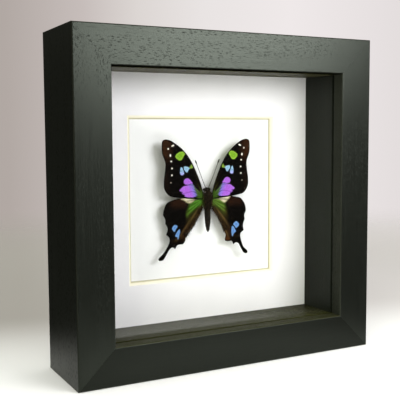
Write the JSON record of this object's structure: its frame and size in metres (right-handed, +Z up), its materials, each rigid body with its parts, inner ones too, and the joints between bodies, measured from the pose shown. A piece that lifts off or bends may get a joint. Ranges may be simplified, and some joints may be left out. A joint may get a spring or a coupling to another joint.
{
  "type": "framed butterfly specimen",
  "caption": "Square deep box frame in black-stained wood, glazed, with a bevelled window mat and a swallowtail butterfly mounted on a white board.",
  "frame": {"origin": "middle of the underside of the frame, halfway between its front face and the back edges of its rails", "axes": "+Z up, +X to the viewer's right, +Y from the glazed front to the back"},
  "size_m": [0.18, 0.05, 0.18],
  "materials": {
    "stained_wood": "satin black stain over open-pored wood",
    "spacer_wood": "satin black stain",
    "glass": "clear, polished",
    "mat_board": "white paper face, cream bevelled core",
    "mount_board": "smooth white paper face on foam",
    "hardboard": "smooth-faced pressed hardboard",
    "zinc_steel": "zinc plated",
    "brassed_steel": "brass plated",
    "wing": "dry wing membrane covered in fine scales, black with purple, blue, green and white marks",
    "insect_body": "dry chitin with short hair",
    "pin_steel": "polished"
  },
  "bodies": {
    "root": {"frame_rail_top": "stained_wood", "frame_rail_bottom": "stained_wood", "frame_rail_left": "stained_wood", "frame_rail_right": "stained_wood", "glass_pane": "glass", "spacer_top": "spacer_wood", "spacer_bottom": "spacer_wood", "spacer_left": "spacer_wood", "spacer_right": "spacer_wood", "window_mat": "mat_board", "mount_board": "mount_board", "back_panel": "hardboard", "tab_1": "zinc_steel", "tab_2": "zinc_steel", "tab_3": "zinc_steel", "tab_4": "zinc_steel", "tab_5": "zinc_steel", "tab_6": "zinc_steel", "tab_7": "zinc_steel", "tab_8": "zinc_steel", "hanger": "brassed_steel", "hanger_nail_left": "brassed_steel", "hanger_nail_right": "brassed_steel", "forewing_left": "wing", "forewing_right": "wing", "hindwing_left": "wing", "hindwing_right": "wing", "butterfly_body": "insect_body", "specimen_pin": "pin_steel"}
  },
  "joints": []
}
